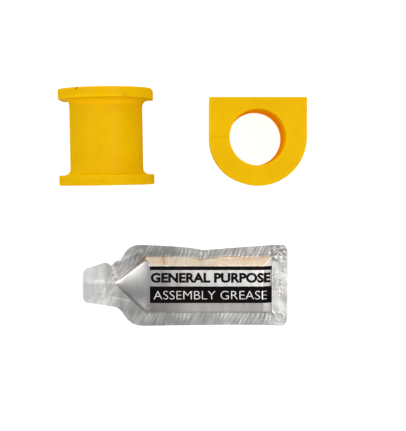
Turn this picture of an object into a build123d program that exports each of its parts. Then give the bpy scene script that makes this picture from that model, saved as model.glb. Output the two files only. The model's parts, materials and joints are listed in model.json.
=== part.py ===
"""Sway bar bush kit: two flanged D bushes of cast polyurethane and a foil sachet of bush grease.

The kit lies on a bench, Z up. One bush stands on its end with its bore upright, and the other lies on
its flat with its bore along Y. The sachet lies on its back in front of them, its neck towards -X. The
origin is the middle of the kit's box, on the bench. All sizes are in millimetres.
"""

from build123d import *
from math import cos, radians, sin
import os

# Bush
BORE_DIAMETER = 24.0  # the bar it runs on
BODY_WALL = 3.75  # from the bore to the body's sides, under the bracket
FLAT_WALL = 4.9  # from the bore to the flat that seats on the chassis
FLANGE_OVERHANG = 5.0  # how far a flange stands out past the body
FLANGE_THICKNESS = 4.5
SADDLE_LENGTH = 33.5  # between the flanges, where the bracket sits
ROOT_FILLET = 2.8  # between the body and a flange
EDGE_FILLET = 0.35  # the moulded edges of the flanges
MOUTH_CHAMFER = 0.25  # at both ends of the bore
SLIT_WIDTH = 0.1  # the knife cut that lets the bush open over the bar

# Sachet
SACHET_LENGTH = 94.0
SACHET_WIDTH = 37.4
FILM_THICKNESS = 0.15
END_CORNER_RADIUS = 1.8
NECK_TIP_WIDTH = 14.6
NECK_TIP_RADIUS = 1.6
NECK_ROOT_WIDTH = 20.8
NECK_LENGTH = 15.6
NECK_ROOT_RADIUS = 5.0
SHOULDER_RUN = 6.6  # along the sachet, from the neck's root to the full width
SHOULDER_RADIUS = 7.0
NOTCH_DEPTH = 1.6  # the tear notch in one edge of the neck
NOTCH_WIDTH = 1.4
NOTCH_FROM_ROOT = 2.4
SIDE_SEAL = 5.9  # from the sachet's long edges to the chamber
END_SEAL = 7.3
TIP_SEAL = 14.6  # from the neck's tip to the chamber's point
POINT_LENGTH = 13.0  # of the chamber's pointed end
SLOPE_WIDTH = 4.2  # of the chamber's long sides, from its edge to its flat panel
POINT_SLOPE = 15.3  # the same from the chamber's point
CORNER_SLOPE = 2.8  # the same at the pointed end's corners
END_SLOPE = 4.0  # the same at the end seal
FRONT_RISE = 3.0  # the front panel's height over the seals
BACK_RISE = 1.6

# Places on the bench
BUSH_GAP = 24.9  # between the two bushes
ROW_GAP = 27.2  # between the bushes and the sachet
SACHET_SHIFT = 1.9  # of the sachet's middle towards +X, from the middle of the two bushes
LYING_TURN = 0.9  # degrees, of the lying bush about Z
LYING_ADVANCE = 0.6  # of the lying bush's middle towards +Y, from the upright bush's bore

bore_radius = BORE_DIAMETER / 2
body_side = bore_radius + BODY_WALL
flange_side = body_side + FLANGE_OVERHANG
flat_height = bore_radius + FLAT_WALL
bush_length = SADDLE_LENGTH + 2 * FLANGE_THICKNESS
root_fillet = min(ROOT_FILLET, 0.7 * FLANGE_OVERHANG, 0.3 * SADDLE_LENGTH)
edge_fillet = min(EDGE_FILLET, 0.2 * FLANGE_THICKNESS, 0.2 * FLANGE_OVERHANG)

lying_half_x = flange_side * cos(radians(LYING_TURN)) + bush_length / 2 * sin(radians(LYING_TURN))
lying_half_y = bush_length / 2 * cos(radians(LYING_TURN)) + flange_side * sin(radians(LYING_TURN))
bushes_width = 2 * lying_half_x + BUSH_GAP + 2 * flange_side
kit_left = min(-bushes_width / 2, SACHET_SHIFT - SACHET_LENGTH / 2)
kit_right = max(bushes_width / 2, SACHET_SHIFT + SACHET_LENGTH / 2)
kit_middle_x = (kit_left + kit_right) / 2
bushes_front = max(flange_side, lying_half_y - LYING_ADVANCE)
bushes_back = max(flat_height, lying_half_y + LYING_ADVANCE)
kit_depth = bushes_back + bushes_front + ROW_GAP + SACHET_WIDTH

upright_x = bushes_width / 2 - flange_side - kit_middle_x
upright_y = kit_depth / 2 - bushes_back
lying_x = -bushes_width / 2 + lying_half_x - kit_middle_x
lying_y = upright_y + LYING_ADVANCE
sachet_tip_x = SACHET_SHIFT - SACHET_LENGTH / 2 - kit_middle_x
sachet_y = -kit_depth / 2 + SACHET_WIDTH / 2
seam_height = BACK_RISE + FILM_THICKNESS


def d_section(side):
    """Adds a D to the open sketch: a round about the origin, with two straight sides up to a flat at +Y."""
    Circle(side)
    with Locations((0, flat_height / 2)):
        Rectangle(2 * side, flat_height)
    with Locations((0, flat_height)):
        Rectangle(2 * side, side, align=(Align.CENTER, Align.MIN), mode=Mode.SUBTRACT)


def make_bush(end):
    """One bush on the plane end: its bore is the plane's normal, its flat faces +Y and its slit -X."""
    far_flange = end.offset(FLANGE_THICKNESS + SADDLE_LENGTH)
    towards_flat = Axis(end.origin, end.y_dir)
    with BuildPart() as bush:
        with BuildSketch(end, far_flange):
            d_section(flange_side)
        extrude(amount=FLANGE_THICKNESS)
        rims = bush.edges().filter_by(end).sort_by(towards_flat)
        fillet(rims[:-4], radius=edge_fillet)  # not the four that lie in the flat

        with BuildSketch(end.offset(FLANGE_THICKNESS)):
            d_section(body_side)
        extrude(amount=SADDLE_LENGTH)
        roots = bush.edges(Select.LAST).filter_by(end).sort_by(towards_flat)
        fillet(roots[:-4], radius=root_fillet)

        with BuildSketch(end):
            Circle(bore_radius)
        extrude(amount=bush_length, mode=Mode.SUBTRACT)
        mouths = bush.edges(Select.LAST).filter_by(GeomType.CIRCLE)
        chamfer(mouths, length=MOUTH_CHAMFER)

        with BuildSketch(end):
            Rectangle(2 * flange_side, SLIT_WIDTH, align=(Align.MAX, Align.CENTER))
        extrude(amount=bush_length, mode=Mode.SUBTRACT)
    return bush


def sachet_outline():
    """Adds the sachet's outline to the open sketch, from the middle of the neck's tip towards +X."""
    tip = NECK_TIP_WIDTH / 2
    root = NECK_ROOT_WIDTH / 2
    half = SACHET_WIDTH / 2
    shoulder_end = NECK_LENGTH + SHOULDER_RUN
    corners = [(0, tip), (NECK_LENGTH, root), (shoulder_end, half), (SACHET_LENGTH, half)]
    radii = [NECK_TIP_RADIUS, NECK_ROOT_RADIUS, SHOULDER_RADIUS, END_CORNER_RADIUS]
    mirrored = [(x, -y) for x, y in reversed(corners)]
    with BuildLine() as outline:
        FilletPolyline(*corners, *mirrored, radius=radii + radii[::-1], close=True)
    make_face(outline.edges())

    notch_x = NECK_LENGTH - NOTCH_FROM_ROOT
    edge_y = tip + (root - tip) * notch_x / NECK_LENGTH
    with Locations((notch_x, edge_y - NOTCH_DEPTH)):
        Triangle(
            a=NOTCH_WIDTH, b=2 * NOTCH_DEPTH, c=2 * NOTCH_DEPTH,
            rotation=180, align=(Align.CENTER, Align.MAX), mode=Mode.SUBTRACT,
        )


def chamber_loft(base, rise, mode):
    """The chamber's shape from the plane base to its flat panel, rise above it, or below if negative."""
    start = (TIP_SEAL, 0)
    corner_x = TIP_SEAL + POINT_LENGTH
    end_x = SACHET_LENGTH - END_SEAL
    half = SACHET_WIDTH / 2 - SIDE_SEAL
    panel_start = (TIP_SEAL + POINT_SLOPE, 0)
    panel_x = corner_x + CORNER_SLOPE
    panel_end = end_x - END_SLOPE
    panel_half = half - SLOPE_WIDTH
    with BuildSketch(base) as mouth:
        with BuildLine():
            Polyline(start, (corner_x, half), (end_x, half), (end_x, -half), (corner_x, -half), close=True)
        make_face()
    with BuildSketch(base.offset(rise)) as panel:
        with BuildLine():
            Polyline(
                panel_start, (panel_x, panel_half), (panel_end, panel_half),
                (panel_end, -panel_half), (panel_x, -panel_half), close=True,
            )
        make_face()
    loft([mouth.sketch, panel.sketch], ruled=True, mode=mode)


def make_film(seam, thickness, rise):
    """One film of the sachet: its seal lies on the plane seam, and its chamber bulges by rise."""
    with BuildPart() as film:
        with BuildSketch(seam):
            sachet_outline()
        extrude(amount=thickness)
        chamber_loft(seam.offset(thickness), rise, Mode.ADD)
        chamber_loft(seam, rise, Mode.SUBTRACT)
    return film


upright_end = Plane((upright_x, upright_y, 0))
lying_across = (cos(radians(LYING_TURN)), sin(radians(LYING_TURN)), 0)
lying_bore = (-sin(radians(LYING_TURN)), cos(radians(LYING_TURN)), 0)
lying_middle = Plane((lying_x, lying_y, flat_height), x_dir=lying_across, z_dir=lying_bore)
lying_end = lying_middle.offset(-bush_length / 2)
seam = Plane((sachet_tip_x, sachet_y, seam_height))

bush_upright = make_bush(upright_end)
bush_lying = make_bush(lying_end)

sachet_front_film = make_film(seam, FILM_THICKNESS, FRONT_RISE)
sachet_back_film = make_film(seam, -FILM_THICKNESS, -BACK_RISE)

with BuildPart() as sachet_grease:
    chamber_loft(seam, FRONT_RISE, Mode.ADD)
    chamber_loft(seam, -BACK_RISE, Mode.ADD)

pieces = {
    "bush_upright": bush_upright,
    "bush_lying": bush_lying,
    "sachet_front_film": sachet_front_film,
    "sachet_back_film": sachet_back_film,
    "sachet_grease": sachet_grease,
}
os.makedirs("parts", exist_ok=True)
for name, piece in pieces.items():
    piece.part.label = name
    export_step(piece.part, f"parts/{name}.step")
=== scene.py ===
"""Looks of a sway bar bush kit: two yellow polyurethane bushes and a foil sachet of bush grease.

The bushes are the CAD nodes with a cast polyurethane finish. The sachet's two films, its fill and its
print are made here. Sizes in the names below are in millimetres, and meshes are in metres.
"""
import json
import math
import random

import bmesh
import bpy
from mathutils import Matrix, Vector, noise


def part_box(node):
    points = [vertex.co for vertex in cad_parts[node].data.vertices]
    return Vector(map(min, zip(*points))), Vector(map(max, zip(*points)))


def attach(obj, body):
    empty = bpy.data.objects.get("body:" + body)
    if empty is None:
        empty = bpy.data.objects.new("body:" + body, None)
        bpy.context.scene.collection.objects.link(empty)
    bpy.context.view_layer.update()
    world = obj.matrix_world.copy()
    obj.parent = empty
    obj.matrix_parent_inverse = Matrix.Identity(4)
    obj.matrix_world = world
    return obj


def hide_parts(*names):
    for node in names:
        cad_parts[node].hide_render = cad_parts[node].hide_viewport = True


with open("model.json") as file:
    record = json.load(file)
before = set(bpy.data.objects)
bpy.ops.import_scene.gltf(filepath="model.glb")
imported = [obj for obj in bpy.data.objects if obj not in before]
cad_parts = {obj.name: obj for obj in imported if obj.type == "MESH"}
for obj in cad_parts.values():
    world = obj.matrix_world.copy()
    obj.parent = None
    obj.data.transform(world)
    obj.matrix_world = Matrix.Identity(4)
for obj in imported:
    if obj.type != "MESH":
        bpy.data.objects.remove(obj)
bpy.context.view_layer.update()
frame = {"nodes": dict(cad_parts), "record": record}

MM = 0.001

# Where the sachet lies, from the frame
FRONT_LOW, FRONT_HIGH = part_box("sachet_front_film")
BACK_LOW, BACK_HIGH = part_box("sachet_back_film")
SACHET_TIP_X = FRONT_LOW.x / MM
SACHET_MIDDLE_Y = (FRONT_LOW.y + FRONT_HIGH.y) / 2 / MM
SACHET_LENGTH = (FRONT_HIGH.x - FRONT_LOW.x) / MM
SEAM_HEIGHT = BACK_HIGH.z / MM
FILM_THICKNESS = 0.15
FRONT_RISE = (FRONT_HIGH.z - FRONT_LOW.z) / MM - FILM_THICKNESS
BACK_RISE = (BACK_HIGH.z - BACK_LOW.z) / MM - FILM_THICKNESS

# The sachet's two long edges, from the neck's tip towards +X: distance along it and from its middle
UPPER_EDGE = [
    (0.0, 4.6), (0.4, 6.6), (1.6, 7.7), (6.0, 9.1), (10.0, 10.4), (11.2, 10.3), (12.9, 9.2), (13.3, 8.7),
    (13.8, 9.7), (14.9, 10.9), (16.9, 11.5), (18.5, 13.2), (19.7, 15.4), (21.6, 17.3), (24.0, 18.3),
    (27.0, 18.6), (35.0, 18.2), (42.5, 17.8), (50.0, 17.1), (54.0, 16.4), (56.0, 16.1), (58.5, 16.4),
    (65.0, 16.9), (73.0, 17.5), (80.0, 17.9), (87.0, 18.5), (92.2, 18.5), (93.4, 17.9), (94.0, 16.4),
]
LOWER_EDGE = [
    (0.0, -5.2), (0.5, -7.2), (2.0, -8.2), (5.5, -8.5), (10.9, -9.4), (15.0, -10.0), (17.2, -11.3),
    (18.9, -13.6), (20.6, -15.9), (22.8, -17.6), (25.4, -18.5), (28.0, -18.7), (42.5, -18.5),
    (65.0, -18.2), (84.0, -18.2), (91.0, -18.6), (92.8, -18.0), (93.8, -16.4), (94.0, -14.8),
]

# The chamber of the sachet, measured like its edges
POINT_X, POINT_Y = 14.6, 0.8  # its point, at the neck
CORNER_X = 28.6  # where the point has widened to the long sides
CHAMBER_TOP, CHAMBER_BOTTOM = 13.35, -12.5
CHAMBER_END = 87.0
SIDE_SLOPE = 4.3  # how far each slope runs, from the chamber's edge to its flat panel
END_SLOPE = 4.2
POINT_EDGE_SLOPE = 1.9
POINT_SLOPE = 15.2
CORNER_STEEPNESS = 0.3  # of the full run, which is left of the side slopes at the point's corners
POINT_CROWN = 0.12
PANEL_TOP = CHAMBER_TOP - SIDE_SLOPE
PANEL_MIDDLE_Y, PANEL_HALF = 0.3, 9.0
PILLOW = 0.16  # how much the flat panel swells
CREASE_ROUNDING = 0.16
PINCH_X, PINCH_WIDTH, PINCH_DEPTH = 55.5, 4.5, 1.1  # a dent in the upper long side

# The marks of the sealing jaws
STREAK_TURN = -0.54  # how far the streaks lean from straight across
RIB_PITCH, RIB_HEIGHT = 1.75, 0.050
FINE_RIB_PITCH, FINE_RIB_HEIGHT = 0.62, 0.020
RING_X, RING_Y, RING_RADIUS = 90.3, -14.6, 1.9
BOX_X, BOX_Y, BOX_HALF_LENGTH, BOX_HALF_WIDTH = 7.6, -0.9, 2.0, 2.6

# The bores, from the frame's mounts
MOUNTS = {mount["name"]: mount for mount in frame["record"]["mounts"]}
UPRIGHT_BORE = [part / MM for part in MOUNTS["upright_bore"]["pos_m"]]
LYING_BORE = [part / MM for part in MOUNTS["lying_bore"]["pos_m"]]
LYING_AXIS = MOUNTS["lying_bore"]["axis"]
LYING_TURN = math.atan2(-LYING_AXIS[0] / LYING_AXIS[1], 1.0)
BORE_REACH = MOUNTS["upright_bore"]["dims"]["r_mm"] + 0.2
LONG = 1000.0  # half a spot's length where it runs right through a bush

# The knife slits, from each bore to the bush's side at -X
UPRIGHT_LOW, UPRIGHT_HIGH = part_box("bush_upright")
FLANGE_SIDE = (UPRIGHT_HIGH.x - UPRIGHT_LOW.x) / 2 / MM
UPRIGHT_SLIT = (UPRIGHT_BORE[0] - FLANGE_SIDE, UPRIGHT_BORE[1], UPRIGHT_BORE[2])
LYING_SLIT = (LYING_BORE[0] - FLANGE_SIDE, LYING_BORE[1], LYING_BORE[2])
SLIT_LENGTH, SLIT_WIDTH = 30.0, 0.2  # half sizes of the spot of painted light and painted glow over each slit

# Marks on the lying bush: a nick and a shallow ring on its far flange, and painted light: a paler patch
# inside that flange and the flange's root, painted paler where light comes through them
LYING_LOW, LYING_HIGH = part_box("bush_lying")
LYING_MIDDLE_X = (LYING_LOW.x + LYING_HIGH.x) / 2 / MM
FAR_END_Y, LYING_TOP_Z = LYING_HIGH.y / MM, LYING_HIGH.z / MM
NICK = (LYING_MIDDLE_X - 10.7, FAR_END_Y - 0.85, LYING_TOP_Z - 3.0)
RING = (LYING_MIDDLE_X + 10.2, FAR_END_Y - 3.7, LYING_TOP_Z - 2.6)
THIN_FLANGE_SPOT = (LYING_MIDDLE_X - 17.9, FAR_END_Y - 4.6, LYING_TOP_Z - 16.2)
ROOT = (LYING_MIDDLE_X, FAR_END_Y - 5.7, LYING_TOP_Z - 12.0)

# The print on the front: left, right, bottom and top
TOP_BAR = (31.0, 86.8, 7.2, 8.95)
BLACK_BAND = (31.0, 86.8, -7.9, -0.25)
FIRST_LINE = (31.4, 86.2, 1.4, 6.0)
SECOND_LINE = (32.7, 84.5, -6.2, -2.3)
INK_LIFT, LETTER_LIFT = 0.05, 0.09
INK_CUT = 0.35  # the ink is cut into squares this wide, so that it can follow the film

# The camera's place from the middle of the upright bore, and how far off it aims from straight down
CAMERA_SHIFT_X, CAMERA_SHIFT_Y, CAMERA_HEIGHT = -22.46, -14.01, 550.0
AIM_SHIFT_X, AIM_SHIFT_Y = -0.92, -20.9

# Colours of the polyurethane
YELLOW = (0.745, 0.448, 0.0005, 1)
BRIGHT_YELLOW = (0.785, 0.480, 0.0006, 1)
AMBER = (0.735, 0.415, 0.0005, 1)
# Painted shading in the bores: deeper orange towards the bottom, paler orange at the top
BORE_BOTTOM_PAINTED_SHADING = (0.93, 0.42, 0.0004, 1)
BORE_TOP_PAINTED_SHADING = (1.0, 0.60, 0.0005, 1)
LYING_BORE_PAINTED_SHADING = (0.97, 0.52, 0.0004, 1)
# Painted light that lightens the slits' dark line, and a painted glow along them
SLIT_PAINTED_LIGHT = (1.0, 0.55, 0.0004, 1)
SLIT_PAINTED_GLOW = (1.0, 0.58, 0.0, 1)
# Painted light on the far flange's root, which lifts the shade under the flange
ROOT_PAINTED_LIGHT = (1.0, 0.595, 0.0006, 1)
SPECK_BROWN = (0.36, 0.16, 0.002, 1)
NICK_BROWN = (0.05, 0.012, 0.001, 1)
RING_OCHRE = (0.66, 0.34, 0.0005, 1)
# Painted light on a thin patch inside the far flange
THIN_FLANGE_PAINTED_LIGHT = (0.85, 0.54, 0.11, 1)
SCUFF_CREAM = (0.92, 0.58, 0.03, 1)

# Colours of the foil, as shares of its shade
DULL_FOIL = (0.90, 0.885, 0.87)
CLEAR_FOIL = (1.04, 1.035, 1.025)
BROWN_FOIL = (0.98, 0.92, 0.85)
# Painted highlight and painted shade in the seals' streaks
STREAK_PAINTED_HIGHLIGHT = (1.22, 1.21, 1.20)
STREAK_PAINTED_SHADE = (0.78, 0.77, 0.755)

# Other colours
BLACK = (0, 0, 0, 1)
# A painted cream reflection on the foil's upper slope
PAINTED_CREAM_REFLECTION = (0.98, 0.90, 0.80, 1)
INK = (0.0016, 0.001, 0.001, 1)
WORN_INK = (0.005, 0.002, 0.002, 1)
GREASE = (0.62, 0.55, 0.38, 1)
PALE_GREASE = (0.74, 0.69, 0.54, 1)


# ---------------------------------------------------------------- shader maths


class Wire:
    """A shader socket that Python's operators work on."""

    def __init__(self, nodes, socket):
        self.nodes, self.socket = nodes, socket

    def _math(self, operation, first, second):
        return self.nodes.add("ShaderNodeMath", {"operation": operation}, {0: first, 1: second})

    def __add__(self, other):
        return self._math("ADD", self, other)

    def __rsub__(self, other):
        return self._math("SUBTRACT", other, self)

    def __mul__(self, other):
        return self._math("MULTIPLY", self, other)

    __radd__, __rmul__ = __add__, __mul__

    def between(self, low, high, curve="SMOOTHSTEP"):
        """0 at low, 1 at high, smooth in between unless the curve is LINEAR."""
        settings = {"interpolation_type": curve}
        return self.nodes.add("ShaderNodeMapRange", settings, {"Value": self, 1: low, 2: high})


class Nodes:
    """A node tree, whose nodes are added one by one."""

    def __init__(self, tree):
        self.tree = tree

    def add(self, kind, settings, values, output=0):
        """Adds a node: its settings first, then the values or wires of its sockets."""
        node = self.tree.nodes.new(kind)
        for name, setting in settings.items():
            setattr(node, name, setting)
        for name, value in values.items():
            self.feed(node.inputs[name], value)
        return Wire(self, node.outputs[output])

    def feed(self, socket, value):
        """Gives a socket a wire or a constant."""
        if isinstance(value, Wire):
            self.tree.links.new(value.socket, socket)
        else:
            socket.default_value = value

    def blend(self, first, second, share, way="MIX"):
        """Mixes two colours, or multiplies them."""
        settings = {"data_type": "RGBA", "blend_type": way}
        return self.add("ShaderNodeMix", settings, {6: first, 7: second, 0: share}, 2)

    def part(self, vector, axis):
        """One part of a vector: X, Y or Z."""
        return self.add("ShaderNodeSeparateXYZ", {}, {0: vector}, axis)

    def ramp(self, share, stops):
        """A colour that runs through these stops. The first is at 0 and the last is at 1."""
        ramp = self.add("ShaderNodeValToRGB", {}, {0: share})
        elements = ramp.socket.node.color_ramp.elements
        elements[0].color, elements[1].color = stops[0][1], stops[-1][1]
        for place, color in stops[1:-1]:
            elements.new(place).color = color
        return ramp


class Finish(Nodes):
    """A material with one Principled shader."""

    def __init__(self, name):
        self.material = bpy.data.materials.new(name)
        self.material.use_nodes = True
        super().__init__(self.material.node_tree)
        self.shader = self.tree.nodes["Principled BSDF"]

    def set(self, **values):
        """Sets the shader's sockets: base_color means Base Color."""
        for name, value in values.items():
            self.feed(self.shader.inputs[name.replace("_", " ").title().replace("Ior", "IOR")], value)

    def place(self, stretch=(1, 1, 1), turn=0.0, middle=(0, 0, 0)):
        """Object coordinates from a middle, for a pattern stretched along each axis and turned about Z."""
        here = self.add("ShaderNodeTexCoord", {}, {}, "Object")
        values = {"Vector": here, "Location": middle, "Rotation": (0, 0, turn), "Scale": stretch}
        return self.add("ShaderNodeMapping", {"vector_type": "TEXTURE"}, values)

    def noise(self, place, size, detail=2.0):
        """Noise from 0 to 1, its blobs about this many millimetres across."""
        values = {"Vector": place, "Scale": 1 / (size * MM), "Detail": detail}
        return self.add("ShaderNodeTexNoise", {}, values)

    def spot(self, middle, size, turn=0.0):
        """An egg-shaped spot, 1 in its middle and 0 at its edge. Middle and half sizes in millimetres."""
        egg = self.place([part * MM for part in size], turn, [part * MM for part in middle])
        return self.add("ShaderNodeTexGradient", {"gradient_type": "SPHERICAL"}, {"Vector": egg}, "Fac")

    def mesh_value(self, name):
        """A value that the mesh holds at each vertex."""
        return self.add("ShaderNodeAttribute", {"attribute_name": name}, {}, "Fac")

    def bump(self, height, depth, under=None):
        """A normal from a height between 0 and 1 that stands for this many millimetres."""
        values = {"Height": height, "Distance": depth * MM, "Strength": 1.0}
        if under is not None:
            values["Normal"] = under
        return self.add("ShaderNodeBump", {}, values)


# ---------------------------------------------------------------- finishes


def paint_bush_light_and_shade(finish, color, place):
    """Paints shading into the bores, and painted light over the slits and a flange's root. Also gives the
    slits.
    """
    # Painted shading in the bores, deeper orange towards the bottom of the upright bore
    upright_bore = finish.spot(UPRIGHT_BORE, (BORE_REACH, BORE_REACH, LONG)).between(0.002, 0.012)
    lying_bore = finish.spot(LYING_BORE, (BORE_REACH, LONG, BORE_REACH), LYING_TURN).between(0.002, 0.012)
    height = finish.part(place, "Z").between(4 * MM, 42 * MM)
    wall_painted_shading = finish.blend(BORE_BOTTOM_PAINTED_SHADING, BORE_TOP_PAINTED_SHADING, height)
    color = finish.blend(color, wall_painted_shading, upright_bore)
    color = finish.blend(color, LYING_BORE_PAINTED_SHADING, lying_bore)
    # Painted light over the knife slits, which lightens their dark shade line
    upright_slit = finish.spot(UPRIGHT_SLIT, (SLIT_LENGTH, SLIT_WIDTH, LONG)).between(0.2, 0.55)
    lying_slit = finish.spot(LYING_SLIT, (SLIT_LENGTH, LONG, SLIT_WIDTH)).between(0.2, 0.55)
    slit_light = upright_slit + lying_slit
    color = finish.blend(color, SLIT_PAINTED_LIGHT, slit_light)
    # Painted light on the far flange's root, which lifts the shade under the flange
    root = finish.spot(ROOT, (30.0, 3.0, 30.0)).between(0.05, 0.75)
    return finish.blend(color, ROOT_PAINTED_LIGHT, root * 0.75), slit_light


def mark_lying_bush(finish, color):
    """The nick and the ring of the lying bush's far flange, and a patch of painted light inside that
    flange.
    """
    nick = finish.spot(NICK, (0.35, 1.5, 1.5), -0.8).between(0.1, 0.5)
    color = finish.blend(color, NICK_BROWN, nick * 0.9)
    dent = finish.spot(RING, (1.1, 1.1, 1.1))
    ring = dent.between(0.05, 0.25) * (1 - dent.between(0.40, 0.62))
    color = finish.blend(color, RING_OCHRE, ring)
    # Painted light: a paler patch inside the thin far flange
    thin_flange_light = finish.spot(THIN_FLANGE_SPOT, (4.4, 1.6, 4.2)).between(0.05, 0.45)
    return finish.blend(color, THIN_FLANGE_PAINTED_LIGHT, thin_flange_light * 0.9)


def polyurethane():
    """Cast yellow polyurethane: waxy, faintly mottled, with specks, scuffs and the mould's fine grain."""
    finish = Finish("polyurethane")
    place = finish.place()
    clouds = finish.noise(place, 14, 3)
    blotches = finish.noise(place, 4.5, 4)
    color = finish.blend(YELLOW, BRIGHT_YELLOW, clouds.between(0.32, 0.68))
    color = finish.blend(color, AMBER, blotches.between(0.56, 0.78) * 0.5)
    # Painted shading in the bores, and painted light over the slits and the far flange's root
    color, slit_light = paint_bush_light_and_shade(finish, color, place)

    spots = finish.add("ShaderNodeTexVoronoi", {}, {"Vector": place, "Scale": 260.0}, "Distance")
    rare = finish.noise(place, 5.5, 1).between(0.54, 0.62)
    specks = (1 - spots.between(0.05, 0.11)) * rare
    color = finish.blend(color, SPECK_BROWN, specks * 0.55)
    color = mark_lying_bush(finish, color)

    scratched = finish.noise(finish.place((1, 11, 11), 0.5), 0.34)
    patch = finish.noise(place, 9).between(0.55, 0.66)
    scuffs = scratched.between(0.64, 0.72) * patch
    color = finish.blend(color, SCUFF_CREAM, scuffs * 0.35)

    normal = finish.bump(finish.noise(place, 0.45, 3), 0.012)
    normal = finish.bump(finish.noise(place, 7), 0.22, normal)
    normal = finish.bump(scratched.between(0.62, 0.74) * patch, 0.01, normal)
    facing = finish.add("ShaderNodeLayerWeight", {}, {}, "Facing")
    finish.set(
        base_color=color,
        roughness=0.40 + 0.16 * clouds + 0.12 * scuffs,
        normal=normal,
        subsurface_weight=0.5,
        subsurface_radius=(1.0, 0.80, 0.10),
        subsurface_scale=3.5 * MM,
        specular_ior_level=0.0,
        coat_weight=0.06 * (1 - facing.between(0.25, 0.85)),
        coat_roughness=0.32,
        # A painted glow along the slits
        emission_color=finish.blend(BLACK, SLIT_PAINTED_GLOW, slit_light),
        emission_strength=0.10,
    )
    return finish.material


def foil_color(shade, shares):
    """A colour of foil of this shade."""
    return (*(min(shade * share, 1.0) for share in shares), 1)


def paint_seal_streaks(finish, color, shade):
    """Slanting streaks of painted highlight and painted shade where the film is sealed and its ribs catch
    the light.
    """
    sealed = finish.mesh_value("seal")
    streaks = finish.noise(finish.place((1, 6, 1), STREAK_TURN), 2.2)
    fine = finish.noise(finish.place((1, 14, 1), STREAK_TURN), 0.7)
    # Painted highlight and painted shade in streaks along the seals
    streak_highlight = foil_color(shade, STREAK_PAINTED_HIGHLIGHT)
    color = finish.blend(color, streak_highlight, streaks.between(0.52, 0.72) * sealed)
    color = finish.blend(color, foil_color(shade, STREAK_PAINTED_SHADE), (1 - streaks.between(0.30, 0.50)) * sealed)
    return finish.blend(color, streak_highlight, fine.between(0.56, 0.76) * sealed * 0.35)


def foil(name, shade, tint=1.0, film=True):
    """Satin aluminium foil laminate, rolled across the sachet.

    On a film it reads three values that the film's mesh holds: seal, where it is streaked with painted
    highlight and shade;
    the painted light and shade that set how bright the foil is; and where it is matt and holds a painted
    cream reflection.
    """
    finish = Finish(name)
    place = finish.place()
    rolled = finish.noise(finish.place((1, 33, 5)), 0.30, 3)
    bands = finish.noise(finish.place((1, 8, 3)), 2.6)
    clouds = finish.noise(place, 11, 3)
    dull, clear = foil_color(shade, DULL_FOIL), foil_color(shade, CLEAR_FOIL)
    color = finish.blend(dull, clear, bands.between(0.3, 0.7))
    color = finish.blend(color, foil_color(shade, BROWN_FOIL), clouds.between(0.52, 0.75) * 0.5 * tint)
    roughness = 0.27 + 0.14 * bands
    if film:
        color = paint_seal_streaks(finish, color, shade)
        # Painted light and shade multiply the foil's colour
        color = finish.blend(color, finish.mesh_value("painted_light"), 1.0, "MULTIPLY")
        # A painted cream reflection on the upper slope, which is also matt there
        cream_reflection = finish.mesh_value("cream_reflection")
        color = finish.blend(color, PAINTED_CREAM_REFLECTION, cream_reflection)
        roughness = roughness + 0.35 * cream_reflection
    normal = finish.bump(rolled, 0.010)
    normal = finish.bump(finish.noise(place, 0.5), 0.006, normal)
    finish.set(base_color=color, metallic=1.0, roughness=roughness, normal=normal)
    return finish.material


def black_ink():
    """Black ink over foil: nearly flat, a little glossy, with the rolling lines showing through."""
    finish = Finish("black_ink")
    rolled = finish.noise(finish.place((1, 33, 5)), 0.30, 3)
    clouds = finish.noise(finish.place(), 8)
    finish.set(
        base_color=finish.blend(INK, WORN_INK, clouds.between(0.35, 0.7)),
        roughness=0.30 + 0.12 * rolled,
        normal=finish.bump(rolled, 0.006),
        specular_ior_level=0.06,
    )
    return finish.material


def grease_fill():
    """Cream grease, smeared and slightly translucent."""
    finish = Finish("grease")
    smears = finish.noise(finish.place((4, 1, 1), 0.4), 3.0, 3)
    finish.set(
        base_color=finish.blend(GREASE, PALE_GREASE, smears.between(0.3, 0.7)),
        roughness=0.22 + 0.12 * smears,
        normal=finish.bump(smears, 0.15),
        subsurface_weight=0.3,
        subsurface_radius=(1.0, 0.8, 0.5),
        subsurface_scale=1.5 * MM,
    )
    return finish.material


# ---------------------------------------------------------------- the sachet's shape


def along(points, x):
    """The height of a line through these points, at x."""
    for (x0, y0), (x1, y1) in zip(points, points[1:]):
        if x <= x1:
            return y0 + (y1 - y0) * (x - x0) / (x1 - x0)
    return points[-1][1]


def least(values, rounding):
    """The least of some values, with a rounded crease where two of them meet."""
    low = min(values)
    return low - rounding * math.log(sum(math.exp((low - value) / rounding) for value in values))


def ease(value, low, high):
    """0 below low, 1 above high, smooth in between."""
    share = min(max((value - low) / (high - low), 0.0), 1.0)
    return share * share * (3 - 2 * share)


def bell(distance, width):
    """1 at no distance, fading to 0 a few widths away."""
    return math.exp(-(distance / width) ** 2)


def drift(x, y, layer):
    """Smooth random waves from about -1 to 1, different in each layer."""
    return noise.noise(Vector((x, y, layer)))


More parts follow.
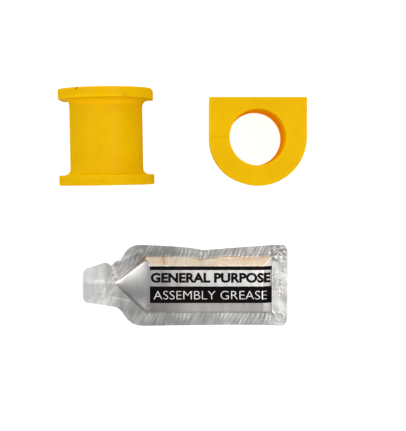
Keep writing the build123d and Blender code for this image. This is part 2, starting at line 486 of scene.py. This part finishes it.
def chamber(x, y, rise):
    """The chamber's height over the seals: a hip roof with a flat panel. Below zero outside it."""
    run, climb, drop = CORNER_X - POINT_X, CHAMBER_TOP - POINT_Y, POINT_Y - CHAMBER_BOTTOM
    ahead, aside = x - POINT_X, y - POINT_Y
    from_upper_edge = (ahead * climb - aside * run) / math.hypot(run, climb)
    from_lower_edge = (ahead * drop + aside * run) / math.hypot(run, drop)
    pillow = PILLOW * (1 - ((y - PANEL_MIDDLE_Y) / PANEL_HALF) ** 2)
    spread = max(CHAMBER_TOP * ahead / run, 1.0)
    crown = POINT_CROWN * min(abs(aside) / spread, 1.3) ** 2
    top = CHAMBER_TOP - PINCH_DEPTH * bell(x - PINCH_X, PINCH_WIDTH) + 0.22 * drift(x * 0.22, 0.0, 4.0)
    side_run = CORNER_STEEPNESS + (1 - CORNER_STEEPNESS) * ease(x, CORNER_X - 1.5, CORNER_X + 3.5)
    sides = [
        (top - y) / (top - PANEL_TOP) / side_run,
        (y - CHAMBER_BOTTOM) / SIDE_SLOPE / side_run,
        (CHAMBER_END - x) / END_SLOPE,
        ahead / POINT_SLOPE - crown,
        from_upper_edge / POINT_EDGE_SLOPE,
        from_lower_edge / POINT_EDGE_SLOPE,
        1.0 + pillow / rise,
    ]
    return least([side * rise for side in sides], CREASE_ROUNDING * rise / FRONT_RISE)


# Creases in the front film: from, to, half width and depth
CREASES = [
    # across the upper slope
    (37.6, 13.2, 38.6, 8.9, 0.75, 0.26),
    (42.6, 12.6, 41.4, 9.0, 0.9, -0.20),
    (47.5, 12.8, 47.0, 9.2, 0.8, 0.12),
    (72.0, 12.4, 72.6, 9.0, 0.7, 0.10),
    (79.6, 8.9, 79.8, 12.2, 0.6, -0.10),
    # out from the pinch
    (55.6, 16.2, 55.2, 11.6, 0.8, -0.34),
    (56.8, 12.2, 66.0, 11.2, 0.55, 0.20),
    (54.8, 11.8, 46.0, 12.4, 0.6, -0.18),
    (62.0, 11.6, 84.0, 13.2, 0.7, -0.16),
    # across the lower slope
    (45.0, -8.6, 45.3, -12.4, 0.7, 0.12),
    (36.0, -8.6, 36.2, -12.4, 0.8, -0.10),
    (58.0, -8.6, 57.6, -12.2, 0.9, 0.10),
    (69.5, -8.8, 69.8, -12.3, 0.7, -0.08),
    # at the panel's two far corners
    (83.0, -8.6, 87.6, -13.0, 0.55, 0.22),
    (82.6, 8.8, 87.4, 13.6, 0.55, 0.22),
    # in the crumpled corner and below it
    (87.0, 13.8, 91.0, 17.0, 0.5, 0.22),
    (88.2, 17.8, 92.6, 13.6, 0.5, -0.22),
    (86.0, 15.2, 88.4, 18.2, 0.5, -0.2),
    (87.6, 5.2, 92.8, 7.2, 0.5, 0.16),
    # round the point and the neck
    (12.9, 9.2, 15.2, 3.0, 0.8, 0.16),
    (14.6, 0.8, 2.0, 0.6, 1.1, 0.10),
    (15.0, -2.6, 8.6, -6.0, 0.7, 0.12),
    (13.4, -5.0, 21.5, -6.6, 0.45, -0.10),
    (15.2, 9.6, 26.6, 15.4, 0.9, 0.14),
]


def creases(x, y):
    """How much the creases lift or sink the film here."""
    here = Vector((x, y))
    lift = 0.0
    for x0, y0, x1, y1, width, depth in CREASES:
        start = Vector((x0, y0))
        run = Vector((x1, y1)) - start
        share = (here - start).dot(run) / run.length_squared
        if -0.3 < share < 1.3:
            distance = (here - start - run * min(max(share, 0.0), 1.0)).length
            if distance < 3 * width:
                lift += depth * bell(distance, width) * (1 - ease(abs(share - 0.5), 0.35, 0.75))
    return lift


def scatter_dimples(count, across, up, size, depth):
    """Dimples at random places, each of a random size and depth, up or down."""
    dimples = []
    for _ in range(count):
        place = random.uniform(*across), random.uniform(*up)
        dimples.append((*place, random.uniform(*size), random.choice((-1, 1)) * random.uniform(*depth)))
    return dimples


random.seed(7)
DIMPLES = scatter_dimples(34, (87.6, 93.2), (-4.5, 7.0), (0.22, 0.42), (0.06, 0.12))
DIMPLES += scatter_dimples(16, (86.5, 93.0), (12.5, 17.6), (0.3, 0.6), (0.04, 0.10))


def seal_ribs(x, y):
    """The slanting ribs of the sealing jaws, patchy and gone at both ends."""
    slant = x * 0.84 - y * 0.50 + 1.4 * drift(x * 0.16, y * 0.16, 3.0)
    ribs = RIB_HEIGHT * math.sin(2 * math.pi * slant / RIB_PITCH)
    ribs += FINE_RIB_HEIGHT * math.sin(2 * math.pi * slant / FINE_RIB_PITCH)
    patchy = 0.45 + 0.75 * (0.5 + drift(x * 0.11, y * 0.25, 9.0))
    return ribs * patchy * (1 - ease(x, CHAMBER_END - 2, CHAMBER_END + 1)) * ease(x, 2.0, 18.0)


def end_marks(x, y):
    """The end seal's dimples, its ring and its crumpled corner."""
    mark = 0.0
    for dimple_x, dimple_y, size, depth in DIMPLES:
        near = ((x - dimple_x) ** 2 + (y - dimple_y) ** 2) / size ** 2
        if near < 6:
            mark += depth * math.exp(-near)
    mark += 0.07 * bell(math.hypot(x - RING_X, y - RING_Y) - RING_RADIUS, 0.38)
    crumpled = ease(x, CHAMBER_END - 1, CHAMBER_END + 1.5) * ease(y, 9.5, 13.0)
    return mark + 0.34 * crumpled * drift(x * 0.55, y * 0.55, 1.0)


def seal_marks(x, y, seal):
    """The marks of the sealing jaws: slanting ribs, marks on the end, and a box on the neck."""
    mark = seal_ribs(x, y) * seal
    if x > CHAMBER_END - 1:
        mark += end_marks(x, y)
    if x < POINT_X - 1.6:
        outside = max(abs(x - BOX_X) - BOX_HALF_LENGTH, abs(y - BOX_Y) - BOX_HALF_WIDTH)
        mark += 0.055 * bell(outside, 0.28)
    return mark


def seal_painted_light(x, y, patches):
    """Painted light and shade on the seals' satin: brightest at both ends, painted duller by the notch."""
    ends = max(1 - ease(x, 8, 22), ease(x, 84, 88) * (1 - 0.8 * ease(y, 9, 13)))
    far_left = ease(y, 0, 10) * (1 - ease(x, 45, 62)) * ease(x, 18, 24)
    painted_light = 0.60 + 0.38 * ends + 0.22 * (1 - ease(x, 6, 15)) - 0.14 * far_left + 0.22 * patches
    end_seal = 0.30 * bell(x - CHAMBER_END, 0.9) + 0.06 * ease(x, 87, 88)
    by_notch = 0.22 * ease(x, 7.5, 9.0) * (1 - ease(x, 12, 14)) * ease(y, 3, 7)
    return painted_light - end_seal - by_notch


def chamber_painted_light(x, y, patches, upper_slope):
    """Painted light and shade on the chamber's satin: its panel, its point, its end slope and its upper
    slope.
    """
    panel = 0.50 + 0.46 * ease(x, 33, 52) + 0.08 * patches
    lit = ease(y, -4.0, 9.5) * (1 - 0.5 * ease(x, 25, 31))
    point = 0.42 + 0.50 * lit + 0.34 * (1 - ease(x, 15, 20)) + 0.50 * ease(-y, 4.0, 11.5)
    painted_light = panel + (point - panel) * (1 - ease(x, 27, 32))
    painted_light += 0.42 * ease(x, 82.4, 83.4) * (1 - 1.4 * ease(x, 85.2, 86.8))
    slope = 1.22 + 0.20 * ease(x, 52, 70)
    return painted_light + (slope - painted_light) * upper_slope


def foil_marks(x, y):
    """How much the foil is ribbed here, its painted light and shade, and how much painted cream reflection
    it has.
    """
    seal = 1 - ease(chamber(x, y, FRONT_RISE), -0.1, 0.5)
    patches = drift(x * 0.07, y * 0.12, 11.0)
    upper_slope = ease(y, 8.6, 9.3) * ease(x + 0.65 * (y - CHAMBER_TOP), 27.6, 29.2)
    ribbed = seal * (1 - 0.55 * ease(x, 84, 88)) * (0.55 + 0.45 * ease(x, 8, 17))
    # Painted light and shade of the foil, on the seals and on the chamber
    painted_light = seal_painted_light(x, y, patches) * seal + chamber_painted_light(x, y, patches, upper_slope) * (1 - seal)
    # A painted cream reflection on the upper slope
    cream_reflection = upper_slope * (1 - seal) * (0.10 + 0.50 * ease(x, 50, 70))
    return ribbed, painted_light, cream_reflection


def front_height(x, y):
    """The front film's outer face over the seam."""
    roof = chamber(x, y, FRONT_RISE)
    inside = ease(roof, -0.1, 0.5)
    creased = 0.35 + 0.65 * ease(abs(y - PANEL_MIDDLE_Y), 8.2, 9.4) + 0.3 * (x < 28)
    height = max(roof, 0.0) + creases(x, y) * creased
    height += 0.16 * (1 - inside) * drift(x * 0.12, y * 0.2, 5.0)
    height += 0.05 * drift(x * 0.30, y * 0.16, 7.0) * ease(x, 14.0, 30.0)
    return height + seal_marks(x, y, 1 - inside) + FILM_THICKNESS


def back_height(x, y):
    """The back film's outer face under the seam: its chamber rests flat on the bench."""
    roof = min(chamber(x, -y + 0.6, BACK_RISE), BACK_RISE)
    outside = 1 - ease(roof, -0.1, 0.5)
    droop = 0.16 * outside * drift(x * 0.12, y * 0.2, 5.0)
    return -max(roof, 0.0) - FILM_THICKNESS + droop + 0.5 * seal_marks(x, y, outside) * outside


def on_sachet(x, y, rise):
    """A place in metres, from a place in the sachet's own millimetres and a rise over its seam."""
    return Vector((SACHET_TIP_X + x, SACHET_MIDDLE_Y + y, SEAM_HEIGHT + rise)) * MM


def lay_on_film(bm, height, lift=0.0):
    """Moves a mesh drawn flat in the sachet's own millimetres on to a film's face, or over it by lift."""
    for vert in bm.verts:
        x, y = vert.co.x, vert.co.y
        vert.co = on_sachet(x, y, height(x, y) + lift)


def make_piece(name, bm, material):
    """Turns a bmesh into a smooth object that rides on the sachet."""
    mesh = bpy.data.meshes.new(name)
    for face in bm.faces:
        face.smooth = True
    bm.to_mesh(mesh)
    bm.free()
    mesh.materials.append(material)
    piece = bpy.data.objects.new(name, mesh)
    bpy.context.scene.collection.objects.link(piece)
    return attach(piece, "sachet")


def grid(columns, rows, size=1.0):
    """A flat square grid."""
    bm = bmesh.new()
    bmesh.ops.create_grid(bm, x_segments=columns, y_segments=rows, size=size)
    return bm


def double(bm):
    """Copies every face of a mesh. Gives the copy's vertices."""
    copy = bmesh.ops.duplicate(bm, geom=bm.verts[:] + bm.edges[:] + bm.faces[:])
    return [item for item in copy["geom"] if isinstance(item, bmesh.types.BMVert)]


def close_rims(bm):
    """Joins two sheets along their rims into one closed skin, its normals outward."""
    bmesh.ops.bridge_loops(bm, edges=[edge for edge in bm.edges if edge.is_boundary])
    bmesh.ops.recalc_face_normals(bm, faces=bm.faces[:])


def film_sheet(columns, rows):
    """A flat grid fitted between the sachet's two long edges, with the foil's marks at each vertex."""
    bm = grid(columns, rows)
    layers = [bm.verts.layers.float.new(mark) for mark in ("seal", "painted_light", "cream_reflection")]
    for vert in bm.verts:
        x = SACHET_LENGTH * (vert.co.x + 1) / 2
        low, high = along(LOWER_EDGE, x), along(UPPER_EDGE, x)
        vert.co = Vector((x, low + (high - low) * (vert.co.y + 1) / 2, 0))
        for layer, value in zip(layers, foil_marks(vert.co.x, vert.co.y)):
            vert[layer] = value
    return bm


def make_film(name, columns, rows, height, inward, material):
    """One film: a fine sheet on the height given, then given its thickness towards the seam."""
    bm = film_sheet(columns, rows)
    lay_on_film(bm, height)
    sheet = bm.faces[:]
    inner_verts = double(bm)
    thickness = Vector((0, 0, inward * FILM_THICKNESS * 0.9 * MM))
    bmesh.ops.translate(bm, verts=inner_verts, vec=thickness)
    inner = bm.faces[len(sheet):]
    bmesh.ops.reverse_faces(bm, faces=inner if inward < 0 else sheet)
    close_rims(bm)
    return make_piece(name, bm, material)


def make_grease(material):
    """The fill between the films, a little inside them."""
    clearance = 0.12
    inset = 1.2
    start, end = POINT_X + 1.5, CHAMBER_END - 0.8
    bm = grid(72, 30)
    for vert in bm.verts:
        x = start + (end - start) * (vert.co.x + 1) / 2
        opening = ease(x, POINT_X - 2, CORNER_X)
        top, bottom = (CHAMBER_TOP - inset) * opening, (CHAMBER_BOTTOM + inset) * opening
        vert.co = Vector((x, bottom + (top - bottom) * (vert.co.y + 1) / 2, 0))
    upper = bm.verts[:]
    under = double(bm)
    for verts, side, rise in ((upper, 1, FRONT_RISE), (under, -1, BACK_RISE)):
        for vert in verts:
            x, y = vert.co.x, vert.co.y
            depth = min(chamber(x, y, rise), rise * 0.96) * 0.86 - clearance
            vert.co = on_sachet(x, y, side * max(depth, 0.02))
    close_rims(bm)
    return make_piece("sachet_grease_fill", bm, material)


# ---------------------------------------------------------------- the print


def cut_fine(bm, box):
    """Cuts a flat mesh into small squares, so that it can follow the film."""
    left, right, bottom, top = box
    columns = int((right - left) / INK_CUT)
    rows = int((top - bottom) / INK_CUT)
    cuts = [((left + i * INK_CUT, 0, 0), (1, 0, 0)) for i in range(1, columns + 1)]
    cuts += [((0, bottom + i * INK_CUT, 0), (0, 1, 0)) for i in range(1, rows + 1)]
    for point, normal in cuts:
        everything = bm.verts[:] + bm.edges[:] + bm.faces[:]
        bmesh.ops.bisect_plane(bm, geom=everything, plane_co=point, plane_no=normal, dist=1e-4)


def ink_bar(name, box, material):
    """A printed bar that follows the film."""
    left, right, bottom, top = box
    bm = grid(1, 1, 0.5)
    bmesh.ops.scale(bm, vec=(right - left, top - bottom, 1), verts=bm.verts[:])
    bmesh.ops.translate(bm, vec=((left + right) / 2, (bottom + top) / 2, 0), verts=bm.verts[:])
    cut_fine(bm, box)
    lay_on_film(bm, front_height, INK_LIFT)
    return make_piece(name, bm, material)


def flat_letters(name, words, weight):
    """Plain lettering as a flat mesh. A weight over 0 makes it bolder, and one under 0 makes it lighter."""
    curve = bpy.data.curves.new(name, "FONT")
    curve.body = words
    curve.offset = weight
    curve.resolution_u = 6
    letters = bpy.data.objects.new(name + "_flat", curve)
    bpy.context.scene.collection.objects.link(letters)
    bpy.context.view_layer.update()
    flat = bpy.data.meshes.new_from_object(letters.evaluated_get(bpy.context.evaluated_depsgraph_get()))
    bm = bmesh.new()
    bm.from_mesh(flat)
    bpy.data.objects.remove(letters)
    bpy.data.meshes.remove(flat)
    bmesh.ops.remove_doubles(bm, verts=bm.verts[:], dist=1e-5)
    return bm


def ink_line(name, words, box, weight, material):
    """A line of lettering, fitted to its box and laid on the film."""
    left, right, bottom, top = box
    bm = flat_letters(name, words, weight)
    xs = [vert.co.x for vert in bm.verts]
    ys = [vert.co.y for vert in bm.verts]
    wide, high = (right - left) / (max(xs) - min(xs)), (top - bottom) / (max(ys) - min(ys))
    bmesh.ops.translate(bm, vec=(-min(xs), -min(ys), 0), verts=bm.verts[:])
    bmesh.ops.scale(bm, vec=(wide, high, 1), verts=bm.verts[:])
    bmesh.ops.translate(bm, vec=(left, bottom, 0), verts=bm.verts[:])
    cut_fine(bm, box)
    lay_on_film(bm, front_height, LETTER_LIFT)
    return make_piece(name, bm, material)


# ---------------------------------------------------------------- the scene


def soft_light(name, place, aim, size, power):
    """A square white softbox at place, facing aim. Places are in metres."""
    data = bpy.data.lights.new(name, "AREA")
    data.size, data.energy = size, power
    light = bpy.data.objects.new(name, data)
    light.location = place
    light.rotation_euler = (Vector(aim) - Vector(place)).to_track_quat("-Z", "Y").to_euler()
    bpy.context.scene.collection.objects.link(light)


def make_floor():
    """A white light table, which glows so that shadows stay faint."""
    finish = Finish("floor")
    finish.set(
        base_color=(0.30, 0.30, 0.30, 1),
        roughness=0.9,
        specular_ior_level=0.0,
        emission_color=(1, 1, 1, 1),
        emission_strength=0.93,
    )
    bm = grid(1, 1, 4.0)
    bmesh.ops.translate(bm, vec=(0, 0, -0.05 * MM), verts=bm.verts[:])
    mesh = bpy.data.meshes.new("floor")
    bm.to_mesh(mesh)
    bm.free()
    mesh.materials.append(finish.material)
    floor = bpy.data.objects.new("floor", mesh)
    bpy.context.scene.collection.objects.link(floor)
    floor.visible_diffuse = False


def make_camera():
    data = bpy.data.cameras.new("camera")
    data.lens = 100.0
    data.clip_start, data.clip_end = 0.05, 20.0
    camera = bpy.data.objects.new("camera", data)
    place = (UPRIGHT_BORE[0] + CAMERA_SHIFT_X, UPRIGHT_BORE[1] + CAMERA_SHIFT_Y, CAMERA_HEIGHT)
    camera.location = Vector(place) * MM
    lean, roll = math.atan(AIM_SHIFT_Y / CAMERA_HEIGHT), math.atan(AIM_SHIFT_X / CAMERA_HEIGHT)
    camera.rotation_euler = (lean, -roll, 0)
    bpy.context.scene.collection.objects.link(camera)
    bpy.context.scene.camera = camera


def make_room():
    world = bpy.data.worlds.new("studio")
    world.use_nodes = True
    room = Nodes(world.node_tree)
    direction = room.add("ShaderNodeTexCoord", {}, {}, "Generated")
    front_to_back = room.part(direction, "Y").between(-1.0, 1.0, "LINEAR")
    above = room.ramp(front_to_back, [
        (0.0, (0.62, 0.59, 0.56, 1)),
        (0.30, (0.62, 0.62, 0.62, 1)),
        (0.58, (0.60, 0.60, 0.60, 1)),
        (0.80, (0.90, 0.86, 0.79, 1)),
        (1.0, (0.92, 0.86, 0.76, 1)),
    ])
    left_to_right = room.part(direction, "X").between(0.0, 0.9, "LINEAR")
    below = room.blend((1.25, 1.06, 0.80, 1), (0.55, 0.38, 0.20, 1), left_to_right)
    over_horizon = room.part(direction, "Z").between(-0.04, 0.04, "LINEAR")
    color = room.blend(below, above, over_horizon)
    room.feed(room.tree.nodes["Background"].inputs["Color"], color)
    bpy.context.scene.world = world


def light_studio():
    """The room, three softboxes and a plain view transform."""
    make_room()
    soft_light("key", (0.50, 0.10, 0.95), (0, 0, 0.02), 0.7, 3.8)
    soft_light("overhead", (0.05, 0.26, 1.15), (0, 0, 0), 0.34, 0.6)
    soft_light("side_card", (-0.66, 0.16, 0.85), (0, 0, 0), 0.40, 2.0)
    bpy.context.scene.view_settings.view_transform = "Standard"
    bpy.context.scene.view_settings.look = "None"


make_camera()
light_studio()
make_floor()

yellow = polyurethane()
for bush in ("bush_upright", "bush_lying"):
    node = frame["nodes"][bush]
    node.data.materials.clear()
    node.data.materials.append(yellow)

front_foil = foil("printed_foil", 0.66)
back_foil = foil("foil", 0.66)
letter_foil = foil("letter_foil", 0.80, 0.4, film=False)
ink = black_ink()

front_film = make_film("sachet_front", 300, 118, front_height, -1, front_foil)
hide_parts("sachet_front_film")
back_film = make_film("sachet_back", 190, 76, back_height, 1, back_foil)
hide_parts("sachet_back_film")
fill = make_grease(grease_fill())
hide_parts("sachet_grease")

for name, box in (("print_top_bar", TOP_BAR), ("print_black_band", BLACK_BAND)):
    ink_bar(name, box, ink)
ink_line("print_first_line", "GENERAL PURPOSE", FIRST_LINE, 0.045, ink)
ink_line("print_second_line", "ASSEMBLY GREASE", SECOND_LINE, -0.012, letter_foil)
